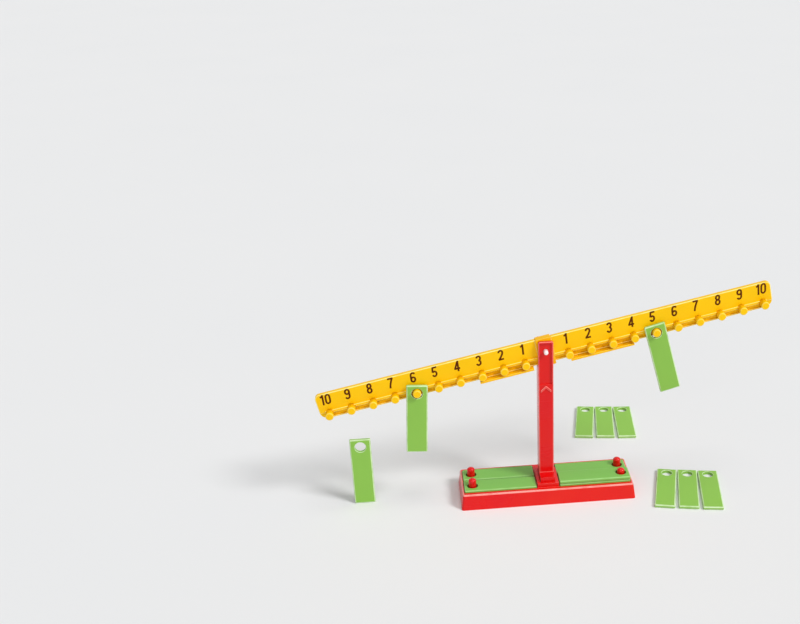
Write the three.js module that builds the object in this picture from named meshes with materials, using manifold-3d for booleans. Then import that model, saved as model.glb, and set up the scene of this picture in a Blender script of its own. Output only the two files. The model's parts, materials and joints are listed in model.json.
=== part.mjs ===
// Math balance: a red stand with a storage tray, a yellow number beam on a pivot pin,
// two balance adjusters that slide under the beam, and a set of green hanging tablets.
// Millimetres, +Z up. The beam runs along X, its pegs and numbers face -Y.
// The origin is the middle of the tray's underside, below the column.
import * as THREE from "three";
import { mergeVertices } from "three/addons/utils/BufferGeometryUtils.js";
import Module from "manifold-3d";

const wasm = await Module();
wasm.setup();

// Fits shared by all pieces
const clearance = 0.3; // between pieces that touch, slide or turn
const stack_gap = 0.2; // between tablets that lie on each other
const cut_overrun = 1; // how far a cut runs past the face that it opens
const round_steps = 32; // sides of a peg or a hole
const corner_steps = 4; // steps of a rounded corner

// Tablets: flat weights with a hanging hole near the top end
const tablet_length = 74;
const tablet_width = 21;
const tablet_thickness = 3.6;
const tablet_corner = 1.2;
const tablet_hole_diameter = 11;
const tablet_hole_inset = 8.6; // from the top end to the middle of the hole

// Pegs, the same on the beam and in the tray
const peg_diameter = 8;
const peg_edge = 0.8; // chamfer round the free end

// Beam: two arms plugged into a centre hub, measured from the pivot in the level beam
const pivot_height = 161.5; // above the table
const beam_tilt = 12; // degrees, the left end down on its stop
const peg_pitch = 22;
const peg_count = 10; // on each arm
const peg_drop = 8.2; // the pegs' middle below the pivot
const peg_reach = 10.3; // in front of the arm's face
const arm_top = 12.5; // above the pivot
const arm_bottom = 13.5; // below the pivot
const arm_thickness = 4.4;
const arm_skin = 1.8; // front skin, and the rim round the back
const arm_end_length = 10; // from the last peg to the arm's end
const arm_top_corner = 5;
const arm_bottom_corner = 6;
const arm_rib = 1.4; // one rib behind each peg
const ledge_reach = 1.8; // in front of the arm's face
const ledge_drop = 5.5; // top of the ledge below the pivot
const ledge_height = 2.6;
const rail_web = 2.4; // the rail's upright under the ledge
const rail_lip_width = 6.8;
const rail_lip_height = 1.2;
const rail_stop_place = 98; // from the pivot to the stop of an adjuster
const rail_stop_width = 1.6;

// Hub: the block that joins the arms and turns on the pin
const hub_width = 15.6;
const hub_top = 12.9; // above the pivot
const hub_bottom = 16.5; // below the pivot
const hub_depth = 8.2;
const hub_corner = 1;
const tenon_length = 4.5;
const tenon_thickness = 2.4;
const tenon_height = 6;
const tenon_lift = 6; // middle of the upper tenon above the pivot
const tenon_drop = 10.3; // middle of the lower tenon below the pivot

// Pivot pin
const pin_diameter = 4.4;
const pin_reach = 4.2; // in front of the column
const pin_round = 1.2;
const pin_head_diameter = 9;
const pin_head_height = 1.8;

// Balance adjusters: channels that hook on the rail's lip from behind
const adjuster_floor = 1.1;
const adjuster_reach = 11; // front edge in front of the beam's middle plane
const adjuster_bead_width = 1;
const adjuster_bead_height = 1;
const adjuster_wall = 1.1;
const adjuster_hook_height = 1.1;
const adjuster_left_length = 54.5;
const adjuster_right_length = 64;
const adjuster_left_place = 15; // inner end from the pivot
const adjuster_right_place = 22.5;

// Column with a fork for the beam
const column_width = 15;
const column_depth = 15;
const fork_ear = 3; // thickness of each ear
const fork_top = 10.5; // above the pivot
const fork_corner = 1.6;
const groove_width = 12; // sunk panel down the front face
const groove_depth = 1.6;
const groove_bottom = 126; // above the table
const groove_margin = 1.8; // left above the groove
const mark_gap = 1.4; // from the groove down to the raised arrow's tip
const mark_width = 10.4;
const mark_rise = 4.8;
const mark_stroke = 2.6;
const mark_relief = 0.8;
const pocket_count = 4; // lightening pockets in the back
const pocket_wall = 2.2;
const pocket_depth = 11;
const pocket_bottom = 30;
const pocket_top = 138;
const foot_height = 25.5; // top of the foot's front step
const foot_reach = 18.5; // front of the foot from the column's middle plane
const foot_bottom = 3.4; // the foot stands in the tray's socket

// Tray, the base of the stand
const tray_height = 16;
const tray_width = 180; // at the table
const tray_depth = 60; // at the table
const tray_top_width = 176;
const tray_top_depth = 53.6;
const tray_corner = 2.4;
const tray_floor = 2.8;
const tray_relief = 1; // the underside stands on a rim this high
const tray_rim = 5.5; // width of that rim
const tray_rim_middle = 28; // width of the pad under the column
const bay_gap = 0.4; // round the stored tablets
const bay_middle_gap = 1.6; // between the front and back stacks
const bay_inner = 11.4; // from the middle of the tray to a bay
const post_height = 26.4; // top of the storage posts above the table
const post_dome = 2.6;
const socket_width = 22;
const socket_wall = 3.2;
const socket_top = 20.5; // above the table
const socket_front = 21.8; // front face from the column's middle plane

// Places of the stored and the loose tablets
const square_turn = 90; // degrees, stored tablets across the tray
const standing_x = -187.5;
const standing_y = 1;
const fan_step = 2.5; // degrees between neighbours
const fan_side_gap = 0.8; // between neighbours at their holes
const back_fan_x = 92;
const back_fan_y = 174; // middle of the fan's top ends
const back_fan_turn = -8; // degrees
const side_fan_x = 155;
const side_fan_y = 14;
const side_fan_turn = -12; // degrees

// Hanging tablets
const left_tablet_peg_count = 6; // pegs from the hub to the tablet
const right_tablet_peg_count = 5;
const left_lean = -3.2; // degrees from plumb, less than zero with its foot to the left
const right_lean = 15.2; // degrees from plumb

// Colours and finishes of the moulded plastics
const red = { color: 0xd8191f, roughness: 0.35, metalness: 0 };
const yellow = { color: 0xf7c60c, roughness: 0.4, metalness: 0 };
const green = { color: 0x74bd52, roughness: 0.45, metalness: 0 };
const white = { color: 0xf4ece8, roughness: 0.4, metalness: 0 };

// Sizes that follow from the ones above
const peg_radius = peg_diameter / 2;
const arm_face = -arm_thickness / 2;
const arm_length = peg_pitch * peg_count + arm_end_length;
const peg_front = arm_face - peg_reach;
const hub_side = hub_width / 2;
const column_side = column_width / 2;
const column_face = -column_depth / 2;
const tilt = THREE.MathUtils.degToRad(beam_tilt);
const corner_aside = (hub_side - hub_corner) * Math.sin(tilt);
const corner_below = (hub_bottom - hub_corner) * Math.cos(tilt) + hub_corner;
const saddle_height = pivot_height - corner_aside - corner_below - clearance;
const bay_outer = bay_inner + tablet_length + 2 * bay_gap;
const bay_back = tablet_width + bay_middle_gap / 2 + bay_gap;
const post_x = bay_outer - bay_gap - tablet_hole_inset;
const post_y = (tablet_width + bay_middle_gap) / 2;

// Turns a closed geometry into a solid that can be joined and cut.
function solid(geometry) {
  const bare = geometry.clone();
  bare.deleteAttribute("normal");
  bare.deleteAttribute("uv");
  const merged = mergeVertices(bare);
  return new wasm.Manifold(
    new wasm.Mesh({
      numProp: 3,
      vertProperties: new Float32Array(merged.attributes.position.array),
      triVerts: new Uint32Array(merged.index.array),
    }),
  );
}

// A block between two opposite corners.
function block(x0, x1, y0, y1, z0, z1) {
  const box = new THREE.BoxGeometry(Math.abs(x1 - x0), Math.abs(y1 - y0), Math.abs(z1 - z0));
  return solid(box.translate((x0 + x1) / 2, (y0 + y1) / 2, (z0 + z1) / 2));
}

// An outline in X and Z, made solid from y0 back to y1.
function plate(shape, y0, y1) {
  const geometry = new THREE.ExtrudeGeometry(shape, { depth: y1 - y0, bevelEnabled: false });
  return solid(geometry.rotateX(Math.PI / 2).translate(0, y1, 0));
}

// A profile of radius and height, turned round Y.
function turned(profile, x, z) {
  const points = profile.map(([radius, y]) => new THREE.Vector2(radius, y));
  return solid(new THREE.LatheGeometry(points, round_steps).translate(x, 0, z));
}

// A plain rod along Y.
function rod(radius, x, z, y0, y1) {
  return turned([[0, y0], [radius, y0], [radius, y1], [0, y1]], x, z);
}

// Points on an arc round (x, y), from one angle to the next.
function arc(x, y, radius, from, to, steps) {
  const points = [];
  for (let i = 0; i <= steps; i++) {
    const turn = from + (i / steps) * (to - from);
    points.push(new THREE.Vector2(x + radius * Math.cos(turn), y + radius * Math.sin(turn)));
  }
  return points;
}

// A rectangle with round corners, centred on the origin.
function roundedRectangle(width, height, corner) {
  const x = width / 2 - corner;
  const y = height / 2 - corner;
  const quarter = Math.PI / 2;
  return new THREE.Shape([
    ...arc(x, y, corner, 0, quarter, corner_steps),
    ...arc(-x, y, corner, quarter, 2 * quarter, corner_steps),
    ...arc(-x, -y, corner, 2 * quarter, 3 * quarter, corner_steps),
    ...arc(x, -y, corner, 3 * quarter, 4 * quarter, corner_steps),
  ]);
}

// The finished piece as a named mesh.
function piece(name, made, finish) {
  const { vertProperties, triVerts } = made.getMesh();
  const geometry = new THREE.BufferGeometry();
  geometry.setAttribute("position", new THREE.BufferAttribute(new Float32Array(vertProperties), 3));
  geometry.setIndex(new THREE.BufferAttribute(new Uint32Array(triVerts), 1));
  geometry.computeVertexNormals();
  const mesh = new THREE.Mesh(geometry, new THREE.MeshStandardMaterial(finish));
  mesh.name = name;
  return mesh;
}

// Tablet: it hangs in X and Z from its hole, which is at the origin, and is thick along Y.
function tablet(name) {
  const hole = tablet_length / 2 - tablet_hole_inset;
  const radius = tablet_hole_diameter / 2;
  const half = tablet_thickness / 2;
  const through = half + cut_overrun;
  const made = plate(roundedRectangle(tablet_width, tablet_length, tablet_corner), -half, half)
    .subtract(rod(radius, 0, hole, -through, through))
    .translate([0, 0, -hole]);
  return piece(name, made, green);
}

// A peg on the beam, with a chamfered free end.
function beamPeg(x) {
  const root = (arm_face + arm_skin - rail_web / 2) / 2;
  return turned(
    [
      [0, peg_front],
      [peg_radius - peg_edge, peg_front],
      [peg_radius, peg_front + peg_edge],
      [peg_radius, root],
      [0, root],
    ],
    x,
    -peg_drop,
  );
}

// Outline of a right arm above the level low, with its outer corners rounded.
function armOutline(inner, low) {
  const bend = -arm_bottom + arm_bottom_corner;
  const below = Math.min(1, Math.max(0, (bend - low) / arm_bottom_corner));
  const lower_x = arm_length - arm_bottom_corner;
  const upper_x = arm_length - arm_top_corner;
  const upper_y = arm_top - arm_top_corner;
  return new THREE.Shape([
    new THREE.Vector2(inner, low),
    ...arc(lower_x, bend, arm_bottom_corner, -Math.asin(below), 0, corner_steps),
    ...arc(upper_x, upper_y, arm_top_corner, 0, Math.PI / 2, corner_steps),
    new THREE.Vector2(inner, arm_top),
  ]);
}

// Flips an outline left to right.
function mirrored(shape) {
  return new THREE.Shape(shape.getPoints().map((point) => new THREE.Vector2(-point.x, point.y)));
}

// Arm: a thin panel with a rim and ribs behind, a ledge and a rail below, and ten pegs.
// side is 1 on the right and -1 on the left.
function arm(side) {
  const inner = hub_side + clearance;
  const ledge_low = -ledge_drop - ledge_height;
  const lip_top = -arm_bottom + rail_lip_height;
  const end = arm_length - arm_bottom_corner;
  const outlines = [armOutline(inner, ledge_low), armOutline(inner, -arm_bottom)];
  const [panel, web] = side > 0 ? outlines : outlines.map(mirrored);
  let made = plate(panel, arm_face, -arm_face).add(plate(web, -rail_web / 2, rail_web / 2));
  const ledge_front = arm_face - ledge_reach;
  made = made.add(block(side * inner, side * end, ledge_front, 0, ledge_low, -ledge_drop));
  const lip = rail_lip_width / 2;
  made = made.add(block(side * inner, side * end, -lip, lip, -arm_bottom, lip_top));
  const stop = rail_stop_place;
  const stop_top = lip_top + adjuster_hook_height;
  made = made.add(block(side * stop, side * (stop + rail_stop_width), 0, lip, lip_top, stop_top));
  for (const middle of [tenon_lift, -tenon_drop]) {
    const half = tenon_height / 2;
    const tip = hub_side - tenon_length + clearance;
    const thick = tenon_thickness / 2;
    made = made.add(
      block(side * tip, side * (inner + arm_rib), -thick, thick, middle - half, middle + half),
    );
  }
  const pocket_low = ledge_low + arm_skin;
  const pocket_high = arm_top - arm_skin;
  for (let n = 0; n <= peg_count; n++) {
    const from = n === 0 ? inner + arm_skin : n * peg_pitch + arm_rib / 2;
    const to = n === peg_count ? arm_length - arm_skin : (n + 1) * peg_pitch - arm_rib / 2;
    const high = n === peg_count ? arm_top - arm_top_corner : pocket_high;
    made = made.subtract(
      block(side * from, side * to, arm_face + arm_skin, cut_overrun - arm_face, pocket_low, high),
    );
  }
  for (let n = 1; n <= peg_count; n++) {
    made = made.add(beamPeg(side * n * peg_pitch));
  }
  return made;
}

// Hub: a block with a bore for the pin and two sockets for the tenons of each arm.
function hub() {
  const shape = roundedRectangle(hub_width, hub_top + hub_bottom, hub_corner);
  let made = plate(shape, -hub_depth / 2, hub_depth / 2);
  made = made.translate([0, 0, (hub_top - hub_bottom) / 2]);
  const bore = pin_diameter / 2 + clearance;
  const through = hub_depth / 2 + cut_overrun;
  made = made.subtract(rod(bore, 0, 0, -through, through));
  for (const side of [-1, 1]) {
    for (const middle of [tenon_lift, -tenon_drop]) {
      const half = tenon_height / 2 + clearance;
      const thick = tenon_thickness / 2 + clearance;
      const open = side * (hub_side + cut_overrun);
      const tip = side * (hub_side - tenon_length);
      made = made.subtract(block(tip, open, -thick, thick, middle - half, middle + half));
    }
  }
  return made;
}

// Adjuster: a floor under the pegs with a bead in front and a hook over the rail's lip behind.
function adjuster(side, place, length) {
  const near = side * place;
  const far = side * (place + length);
  const floor_top = -arm_bottom - clearance;
  const floor_low = floor_top - adjuster_floor;
  const wall_front = rail_lip_width / 2 + clearance;
  const wall_back = wall_front + adjuster_wall;
  const hook_low = -arm_bottom + rail_lip_height + clearance;
  const hook_top = hook_low + adjuster_hook_height;
  const bead_back = -adjuster_reach + adjuster_bead_width;
  const hook_front = rail_web / 2 + clearance;
  return block(near, far, -adjuster_reach, wall_back, floor_low, floor_top)
    .add(block(near, far, -adjuster_reach, bead_back, floor_low, floor_top + adjuster_bead_height))
    .add(block(near, far, wall_front, wall_back, floor_low, hook_top))
    .add(block(near, far, hook_front, wall_back, hook_low, hook_top));
}

// Pivot pin: a round shank with a rounded front end and a head behind the fork.
function pivotPin() {
  const front = column_face - pin_reach;
  const back = -column_face + clearance;
  const radius = pin_diameter / 2;
  return turned(
    [
      [0, front],
      [radius - pin_round, front],
      [radius, front + pin_round],
      [radius, back],
      [pin_head_diameter / 2, back],
      [pin_head_diameter / 2, back + pin_head_height],
      [0, back + pin_head_height],
    ],
    0,
    0,
  );
}

// Raised arrow head on the column's front, pointing up.
function columnMark() {
  const half = mark_width / 2;
  const rise = mark_rise / 2;
  const shape = new THREE.Shape();
  shape.moveTo(-half, -rise);
  shape.lineTo(0, rise);
  shape.lineTo(half, -rise);
  shape.lineTo(half, -rise - mark_stroke);
  shape.lineTo(0, rise - mark_stroke);
  shape.lineTo(-half, -rise - mark_stroke);
  return plate(shape, column_face - mark_relief, column_face + mark_relief)
    .translate([0, 0, groove_bottom - mark_gap - rise]);
}

// Column: a post with a stepped foot below and two fork ears above.
function column() {
  const top = pivot_height + fork_top;
  const shaft_bottom = foot_bottom + fork_corner;
  const shape = roundedRectangle(column_width, top - shaft_bottom, fork_corner);
  let made = plate(shape, column_face, -column_face).translate([0, 0, (top + shaft_bottom) / 2]);
  const side = column_side;
  made = made.add(block(-side, side, -foot_reach, -column_face, foot_bottom, foot_height));
  const ear = column_face + fork_ear;
  const wide = column_side + cut_overrun;
  made = made.subtract(block(-wide, wide, ear, -ear, saddle_height, top + cut_overrun));
  const groove = groove_width / 2;
  made = made.subtract(
    block(
      -groove,
      groove,
      column_face - cut_overrun,
      column_face + groove_depth,
      groove_bottom,
      top - groove_margin,
    ),
  );
  const pocket_rise = (pocket_top - pocket_bottom + pocket_wall) / pocket_count;
  const pocket_side = column_side - pocket_wall;
  for (let n = 0; n < pocket_count; n++) {
    const low = pocket_bottom + n * pocket_rise;
    made = made.subtract(
      block(
        -pocket_side,
        pocket_side,
        -column_face - pocket_depth,
        -column_face + cut_overrun,
        low,
        low + pocket_rise - pocket_wall,
      ),
    );
  }
  const bore = pin_diameter / 2 + clearance;
  const through = -column_face + cut_overrun;
  made = made.subtract(rod(bore, 0, pivot_height, -through, through));
  return made.add(columnMark());
}

// A storage post in the tray, with a domed top.
function storagePost(x, y) {
  const root = (tray_relief + tray_floor) / 2;
  const dome = arc(0, 0, 1, 0, Math.PI / 2, corner_steps).map(
    (point) =>
      new THREE.Vector2(point.x * peg_radius, post_height - post_dome * (1 - point.y)),
  );
  dome[corner_steps].x = 0;
  const profile = [new THREE.Vector2(0, root), new THREE.Vector2(peg_radius, root), ...dome];
  const geometry = new THREE.LatheGeometry(profile, round_steps);
  return solid(geometry.rotateX(Math.PI / 2).translate(x, y, 0));
}

// Tray: sloping walls, a bay with two posts on each side, and a socket for the column.
function tray() {
  const outline = roundedRectangle(tray_width, tray_depth, tray_corner);
  const walls = new THREE.ExtrudeGeometry(outline, { depth: tray_height, bevelEnabled: false });
  const corners = walls.attributes.position;
  for (let i = 0; i < corners.count; i++) {
    if (corners.getZ(i) > tray_height / 2) {
      const narrow = (tray_width - tray_top_width) / 2;
      const shallow = (tray_depth - tray_top_depth) / 2;
      corners.setX(i, corners.getX(i) - Math.sign(corners.getX(i)) * narrow);
      corners.setY(i, corners.getY(i) - Math.sign(corners.getY(i)) * shallow);
    }
  }
  let made = solid(walls);
  const side = socket_width / 2;
  const socket_back = -column_face + socket_wall;
  made = made.add(block(-side, side, -socket_front, socket_back, tray_relief, socket_top));
  for (const hand of [-1, 1]) {
    const open = Math.max(tray_height, socket_top) + cut_overrun;
    made = made.subtract(
      block(hand * bay_inner, hand * bay_outer, -bay_back, bay_back, tray_floor, open),
    );
    const rim_x = tray_top_width / 2 - tray_rim;
    const rim_y = tray_top_depth / 2 - tray_rim;
    made = made.subtract(
      block(hand * (tray_rim_middle / 2), hand * rim_x, -rim_y, rim_y, -cut_overrun, tray_relief),
    );
    made = made.add(storagePost(hand * post_x, post_y)).add(storagePost(hand * post_x, -post_y));
  }
  const gap = column_side + clearance;
  const front = -foot_reach - clearance;
  const back = -column_face + clearance;
  const floor = foot_bottom - clearance;
  return made.subtract(block(-gap, gap, front, back, floor, socket_top + cut_overrun));
}

const balance = new THREE.Group();

// The stand
balance.add(piece("tray", tray(), red));
balance.add(piece("column", column(), red));
const pin = piece("pivot_pin", pivotPin(), white);
pin.position.z = pivot_height;
balance.add(pin);

// The beam and its adjusters, tilted on the pin
const beam = new THREE.Group();
beam.position.z = pivot_height;
beam.rotation.y = -tilt;
beam.add(piece("beam_hub", hub(), yellow));
beam.add(piece("left_arm", arm(-1), yellow));
beam.add(piece("right_arm", arm(1), yellow));
beam.add(
  piece("left_adjuster", adjuster(-1, adjuster_left_place, adjuster_left_length), yellow),
);
beam.add(
  piece("right_adjuster", adjuster(1, adjuster_right_place, adjuster_right_length), yellow),
);
balance.add(beam);

// The tablets on the beam's pegs, clear of the ledge and hanging from the top of the hole
function hang(name, count, lean) {
  const mesh = tablet(name);
  const peg = new THREE.Vector3(count * peg_pitch, 0, -peg_drop);
  peg.applyAxisAngle(new THREE.Vector3(0, 1, 0), -tilt);
  const slack = tablet_hole_diameter / 2 - peg_radius - clearance;
  const turn = THREE.MathUtils.degToRad(lean);
  mesh.position.set(
    peg.x + slack * Math.sin(turn),
    arm_face - ledge_reach - clearance - tablet_thickness / 2,
    pivot_height + peg.z - slack * Math.cos(turn),
  );
  mesh.rotation.y = -turn;
  return mesh;
}
balance.add(hang("left_hung_tablet", -left_tablet_peg_count, left_lean));
balance.add(hang("right_hung_tablet", right_tablet_peg_count, right_lean));

// A tablet that lies flat, its top end at the given place and pointing along the given turn
function lay(name, x, y, z, turn) {
  const mesh = tablet(name);
  mesh.rotation.x = -Math.PI / 2;
  const holder = new THREE.Group();
  holder.add(mesh);
  holder.rotation.z = THREE.MathUtils.degToRad(turn);
  holder.position.set(x, y, z + tablet_thickness / 2);
  return holder;
}

// The stored tablets, threaded on the tray's posts with their holes to the outer ends
const stacks = [
  { name: "left_front_tablet", hand: -1, row: -1, count: 4 },
  { name: "left_back_tablet", hand: -1, row: 1, count: 4 },
  { name: "right_front_tablet", hand: 1, row: -1, count: 5 },
  { name: "right_back_tablet", hand: 1, row: 1, count: 4 },
];
for (const stack of stacks) {
  for (let n = 0; n < stack.count; n++) {
    const z = tray_floor + stack_gap + n * (tablet_thickness + stack_gap);
    const name = stack.name + "_" + (n + 1);
    balance.add(lay(name, stack.hand * post_x, stack.row * post_y, z, -stack.hand * square_turn));
  }
}

// One tablet stands on its end on the table, facing the front
const standing = tablet("standing_tablet");
standing.position.set(standing_x, standing_y, tablet_length - tablet_hole_inset);
balance.add(standing);

// Three tablets side by side on the table, slightly fanned
function fan(name, x, y, turn) {
  const group = new THREE.Group();
  group.position.set(x, y, 0);
  group.rotation.z = THREE.MathUtils.degToRad(turn);
  for (let n = -1; n <= 1; n++) {
    const across = n * (tablet_width + fan_side_gap);
    group.add(lay(name + "_" + (n + 2), across, -tablet_hole_inset, 0, n * fan_step));
  }
  return group;
}
balance.add(fan("back_fan_tablet", back_fan_x, back_fan_y, back_fan_turn));
balance.add(fan("side_fan_tablet", side_fan_x, side_fan_y, side_fan_turn));

export default balance;
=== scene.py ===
# %% [markdown]
# # A math balance in moulded plastic
# A beam with ten numbered pegs on each side rocks on a pin at the top of a
# column. Equal tablets hang on the pegs, so that three on peg 4 weigh as much
# as four on peg 3, and the spare tablets are kept on posts in the tray.
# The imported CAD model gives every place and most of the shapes. This notebook
# adds what a moulder and a printer add: round edges, surfaces, numbers and
# daylight. The arms and the tablets are shaped anew here, and repeat the CAD
# model's sizes as named values.

# %% Load the frame
import json
import math

import bmesh
import bpy
from mathutils import Matrix, Vector


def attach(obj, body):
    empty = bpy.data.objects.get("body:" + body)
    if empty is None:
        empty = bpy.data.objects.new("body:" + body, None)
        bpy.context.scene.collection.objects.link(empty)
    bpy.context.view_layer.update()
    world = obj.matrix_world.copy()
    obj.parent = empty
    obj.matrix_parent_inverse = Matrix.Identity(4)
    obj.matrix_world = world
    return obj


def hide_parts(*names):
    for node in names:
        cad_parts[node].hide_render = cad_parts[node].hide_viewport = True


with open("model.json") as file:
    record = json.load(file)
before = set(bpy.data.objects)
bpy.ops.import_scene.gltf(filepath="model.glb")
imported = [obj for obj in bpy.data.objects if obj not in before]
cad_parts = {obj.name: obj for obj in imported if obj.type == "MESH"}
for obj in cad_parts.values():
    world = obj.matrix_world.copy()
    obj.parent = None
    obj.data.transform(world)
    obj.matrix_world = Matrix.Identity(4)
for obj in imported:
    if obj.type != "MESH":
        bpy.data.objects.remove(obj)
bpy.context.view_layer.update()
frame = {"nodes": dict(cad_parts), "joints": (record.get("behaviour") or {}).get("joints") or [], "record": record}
mm = 0.001

# %% [markdown]
# ## Camera
# A product camera stands a little to the left of the stand and looks down on
# it. Its place is worked out from a target on the column, two angles, a small
# roll and a distance, because these are easy to judge against a picture. The
# lens follows from how many pixels a metre takes at the target, and the shift
# puts the target where the picture has it.

# %% Place the camera
picture_width = 800
picture_height = 624
target = Vector((0, 0, 100 * mm))
camera_turn = math.radians(-7.15)
camera_rise = math.radians(27)
camera_roll = math.radians(-0.38)
camera_distance = 1.1
pixels_per_metre = 991
target_pixel = (545.25, 404.6)
sensor_width = 36


def camera_axes(turn, rise, roll):
    """Right, up and forward of a camera that looks at its target."""
    forward = Vector(
        (-math.sin(turn) * math.cos(rise), math.cos(turn) * math.cos(rise), -math.sin(rise))
    )
    level = Vector((math.cos(turn), math.sin(turn), 0))
    upright = level.cross(forward)
    right = math.cos(roll) * level + math.sin(roll) * upright
    up = math.cos(roll) * upright - math.sin(roll) * level
    return right, up, forward


right, up, forward = camera_axes(camera_turn, camera_rise, camera_roll)
lens = bpy.data.cameras.new("product_camera")
lens.sensor_width = sensor_width
lens.lens = pixels_per_metre * camera_distance / picture_width * sensor_width
lens.shift_x = (picture_width / 2 - target_pixel[0]) / picture_width
lens.shift_y = (target_pixel[1] - picture_height / 2) / picture_width
lens.clip_start = 0.01
lens.clip_end = 50
camera = bpy.data.objects.new("product_camera", lens)
bpy.context.scene.collection.objects.link(camera)
camera_place = Matrix((right, up, -forward)).transposed().to_4x4()
camera_place.translation = target - camera_distance * forward
camera.matrix_world = camera_place
bpy.context.scene.camera = camera
print("lens in mm:", round(lens.lens, 2), "shift:", round(lens.shift_x, 3), round(lens.shift_y, 3))

# %% [markdown]
# ## Floor, world and lamps
# The object stands on a pale table top that runs on past the view. Square
# lamps close by would leave a bright pool with a grey rim, so the light comes
# from far away instead: a broad key from the upper right, which gives the
# tablets a bright edge on that side, a weaker one from overhead, which draws
# a bright line along the tray's rim, a low one from the front, which reaches
# under the beam's ledge, and a pale world for the rest. The lamps have wide
# discs, so shadows are soft. Together they give a surface that faces up about
# as much light as makes a colour render as it is written.
#
# The world looks as pale as the lit floor to the camera and in reflections,
# and the floor is quite matt, because a gloss would mirror the key lamp at a
# low angle. So the horizon doesn't show from any side.

# %% Make the floor, the world and the lamps
floor_span = 60
floor_drop = 0.05 * mm
cool_floor = (0.79, 0.795, 0.80, 1)
warm_floor = (0.81, 0.81, 0.81, 1)
world_light = 0.3
world_tint = (0.97, 0.985, 1, 1)
pale_tone = (0.83, 0.84, 0.85, 1)


def new_material(name):
    """A node material, its nodes and links, and its Principled shader."""
    material = bpy.data.materials.new(name)
    material.use_nodes = True
    nodes = material.node_tree.nodes
    return material, nodes, material.node_tree.links, nodes["Principled BSDF"]


def far_lamp(name, direction, strength, disc):
    """A distant lamp that shines from a direction, with a disc of so many degrees."""
    data = bpy.data.lights.new(name, "SUN")
    data.energy = strength
    data.angle = math.radians(disc)
    lamp = bpy.data.objects.new(name, data)
    bpy.context.scene.collection.objects.link(lamp)
    lamp.rotation_euler = Vector(direction).to_track_quat("Z", "Y").to_euler()
    return lamp


def table_top():
    """A matt material whose tone wanders a little, as paper's does."""
    material, nodes, links, shader = new_material("table_top")
    where = nodes.new("ShaderNodeTexCoord")
    paper = nodes.new("ShaderNodeTexNoise")
    paper.inputs["Scale"].default_value = 3
    tint = nodes.new("ShaderNodeMix")
    tint.data_type = "RGBA"
    tint.inputs["A"].default_value = cool_floor
    tint.inputs["B"].default_value = warm_floor
    links.new(where.outputs["Object"], paper.inputs["Vector"])
    links.new(paper.outputs["Fac"], tint.inputs["Factor"])
    links.new(tint.outputs["Result"], shader.inputs["Base Color"])
    shader.inputs["Roughness"].default_value = 1
    shader.inputs["Specular IOR Level"].default_value = 0
    return material


half = floor_span / 2
floor_corners = [(-half, -half), (half, -half), (half, half), (-half, half)]
floor_mesh = bpy.data.meshes.new("floor")
floor_mesh.from_pydata([(x, y, -floor_drop) for x, y in floor_corners], [], [(0, 1, 2, 3)])
floor_mesh.materials.append(table_top())
floor = bpy.data.objects.new("floor", floor_mesh)
bpy.context.scene.collection.objects.link(floor)


def studio_world():
    """A world that lights evenly and looks like the floor where it is seen."""
    world = bpy.data.worlds.new("studio")
    world.use_nodes = True
    nodes = world.node_tree.nodes
    links = world.node_tree.links
    light = nodes["Background"]
    light.inputs["Color"].default_value = world_tint
    light.inputs["Strength"].default_value = world_light
    seen = nodes.new("ShaderNodeBackground")
    seen.inputs["Color"].default_value = pale_tone
    path = nodes.new("ShaderNodeLightPath")
    is_seen = path.outputs["Is Camera Ray"]
    for ray in ("Is Glossy Ray", "Is Transmission Ray"):
        either = nodes.new("ShaderNodeMath")
        either.operation = "MAXIMUM"
        links.new(is_seen, either.inputs[0])
        links.new(path.outputs[ray], either.inputs[1])
        is_seen = either.outputs[0]
    chosen = nodes.new("ShaderNodeMixShader")
    links.new(is_seen, chosen.inputs["Fac"])
    links.new(light.outputs[0], chosen.inputs[1])
    links.new(seen.outputs[0], chosen.inputs[2])
    links.new(chosen.outputs[0], nodes["World Output"].inputs["Surface"])
    return world


bpy.context.scene.world = studio_world()
lamps = [
    far_lamp("key_lamp", (0.60, -0.42, 0.68), strength=1.9, disc=18),
    far_lamp("top_lamp", (0.12, -0.10, 0.98), strength=0.85, disc=26),
    far_lamp("low_lamp", (-0.22, -0.92, 0.30), strength=0.62, disc=50),
]
bpy.context.scene.view_settings.view_transform = "Standard"
print("lamps:", [(lamp.name, round(lamp.data.energy, 2)) for lamp in lamps])

# %% [markdown]
# ## Moulded plastic
# All the pieces come out of a polished or lightly grained steel mould, so
# they share one effect with different values: a colour that wanders slightly
# where the melt cooled, a fine grain, faint rub marks from handling, and a
# painted highlight on the round edges, a paler colour laid on in patches that
# stands in for the light the rounds catch. The faces of the rounds carry a
# mark that tells the effect where they are and how strong the painted
# highlight is. One node group makes it and hands out a colour, a roughness and
# a height. The shader stays in each material. The pattern runs on Object
# coordinates, and since every piece keeps its place in its mesh, no two tablets
# get the same marks.

# %% Build the shared surface effect
highlight_mark = "edge_highlight"


def add_input(tree, name, kind, value):
    """A named input of a node group, with the value it starts from."""
    socket = tree.interface.new_socket(name=name, in_out="INPUT", socket_type=kind)
    socket.default_value = value


def math_node(tree, operation, first, second):
    """A Math node with its first two inputs linked or set."""
    node = tree.nodes.new("ShaderNodeMath")
    node.operation = operation
    for socket, value in zip(node.inputs, (first, second)):
        if isinstance(value, (int, float)):
            socket.default_value = value
        else:
            tree.links.new(value, socket)
    return node


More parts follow.
